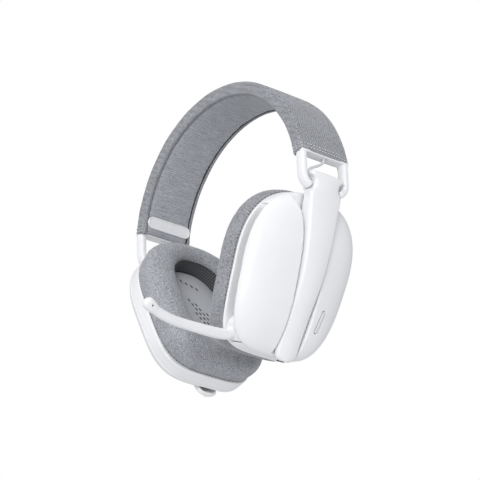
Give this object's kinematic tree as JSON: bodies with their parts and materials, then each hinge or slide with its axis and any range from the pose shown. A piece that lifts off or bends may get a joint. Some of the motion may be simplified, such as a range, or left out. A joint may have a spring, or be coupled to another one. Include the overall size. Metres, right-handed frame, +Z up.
{
  "type": "gaming headset",
  "caption": "Over-ear wireless headset with a padded fabric headband, forked arms that tilt, sliding ear cups with soft cushions, and a fold-up microphone boom.",
  "frame": {"origin": "crown of the headband's underside, on the mid plane, where the headset hangs on a head or a stand", "axes": "+Z up, +X towards the wearer's left, -Y towards the front, where the microphone boom points"},
  "size_m": [0.1638, 0.1444, 0.1923],
  "materials": {
    "fabric": "woven heather cloth",
    "knit": "ribbed knit",
    "white_plastic": "satin moulded",
    "grey_plastic": "fine texture",
    "dark_plastic": "matt",
    "steel": "plain",
    "board": "solder mask",
    "foil": "foil wrap"
  },
  "bodies": {
    "headband": {"headband_cover": "fabric", "headband_inner_pad": "knit", "spring_band": "steel", "marker_plate_left": "white_plastic", "fork_left": "white_plastic", "fork_screw_left": "steel", "hinge_pin_left_front": "steel", "hinge_pin_left_rear": "steel", "wire_grommet_left": "grey_plastic", "link_wire_left": "grey_plastic", "marker_plate_right": "white_plastic", "fork_right": "white_plastic", "fork_screw_right": "steel", "hinge_pin_right_front": "steel", "hinge_pin_right_rear": "steel", "wire_grommet_right": "grey_plastic", "link_wire_right": "grey_plastic"},
    "left_arm": {"arm_shell_left": "white_plastic", "arm_inner_cover_left": "dark_plastic", "slide_rail_left": "steel"},
    "left_cup": {"cup_cover_left": "white_plastic", "cup_shell_left": "white_plastic", "slider_block_left": "dark_plastic", "baffle_left": "grey_plastic", "driver_basket_left": "dark_plastic", "driver_diaphragm_left": "dark_plastic", "driver_magnet_left": "steel", "cushion_left": "fabric", "cushion_lining_left": "fabric", "cushion_ring_left": "dark_plastic", "slider_screw_left_upper": "steel", "slider_screw_left_lower": "steel", "circuit_board": "board", "usb_port": "steel", "boom_pivot_pin": "steel"},
    "right_arm": {"arm_shell_right": "white_plastic", "arm_inner_cover_right": "dark_plastic", "slide_rail_right": "steel"},
    "right_cup": {"cup_cover_right": "white_plastic", "cup_shell_right": "white_plastic", "slider_block_right": "dark_plastic", "baffle_right": "grey_plastic", "driver_basket_right": "dark_plastic", "driver_diaphragm_right": "dark_plastic", "driver_magnet_right": "steel", "cushion_right": "fabric", "cushion_lining_right": "fabric", "cushion_ring_right": "dark_plastic", "slider_screw_right_upper": "steel", "slider_screw_right_lower": "steel", "battery": "foil"},
    "boom": {"boom_arm": "white_plastic", "mic_capsule": "dark_plastic"},
    "power_button": {"power_button": "dark_plastic"},
    "volume_rocker": {"volume_rocker": "grey_plastic"}
  },
  "joints": [
    {"name": "left_arm_tilt", "type": "hinge", "parent": "headband", "child": "left_arm", "pos_m": [0.076, 0, -0.081], "axis": [0, -1, 0], "range_deg": [-2, 24], "deforming": ["link_wire_left"]},
    {"name": "left_cup_slide", "type": "slide", "parent": "left_arm", "child": "left_cup", "axis": [-0.3795, 0, -0.9252], "range_m": [0, 0.02]},
    {"name": "right_arm_tilt", "type": "hinge", "parent": "headband", "child": "right_arm", "pos_m": [-0.076, 0, -0.081], "axis": [0, 1, 0], "range_deg": [-2, 24], "deforming": ["link_wire_right"]},
    {"name": "right_cup_slide", "type": "slide", "parent": "right_arm", "child": "right_cup", "axis": [0.3795, 0, -0.9252], "range_m": [0, 0.02]},
    {"name": "boom_fold", "type": "hinge", "parent": "left_cup", "child": "boom", "pos_m": [0.03139, -0.0315, -0.16657], "axis": [-0.9252, 0, 0.3795], "range_deg": [0, 88]},
    {"name": "power_button_press", "type": "slide", "parent": "left_cup", "child": "power_button", "axis": [0.3795, 0, 0.9252], "range_m": [0, 0.0006], "stiffness_N_per_m": 800},
    {"name": "volume_rocker_tip", "type": "hinge", "parent": "left_cup", "child": "volume_rocker", "pos_m": [0.04992, 0.0162, -0.15763], "axis": [-0.0659, 0.9848, -0.1607], "range_deg": [-3, 3], "stiffness_Nm_per_rad": 0.05}
  ]
}
